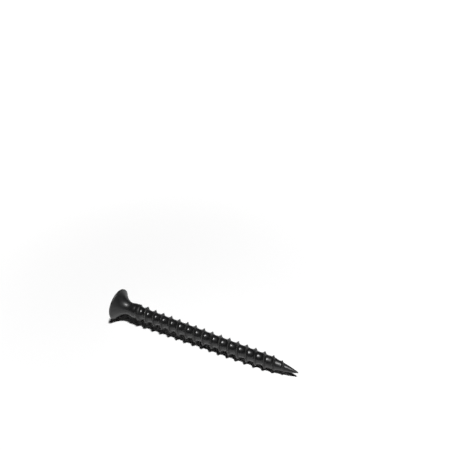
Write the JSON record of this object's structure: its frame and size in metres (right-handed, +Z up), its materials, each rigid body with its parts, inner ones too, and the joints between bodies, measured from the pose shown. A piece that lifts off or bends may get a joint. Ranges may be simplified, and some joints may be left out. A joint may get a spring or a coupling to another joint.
{
  "type": "drywall screw",
  "caption": "Black bugle-head screw with a cross recess, a plain neck, a deep coarse right-hand thread and a sharp conical point, lying on its side.",
  "frame": {"origin": "middle of the screw's footprint, on the surface that it lies on", "axes": "+Z up, +X from the head towards the point; the screw's own axis lies in the XZ plane and dips 3 degrees towards the point"},
  "size_m": [0.051, 0.0084, 0.0084],
  "materials": {
    "black_phosphate": "black phosphate coating with a light film of oil, satin, on hardened steel"
  },
  "bodies": {
    "root": {"drywall_screw": "black_phosphate"}
  },
  "joints": []
}
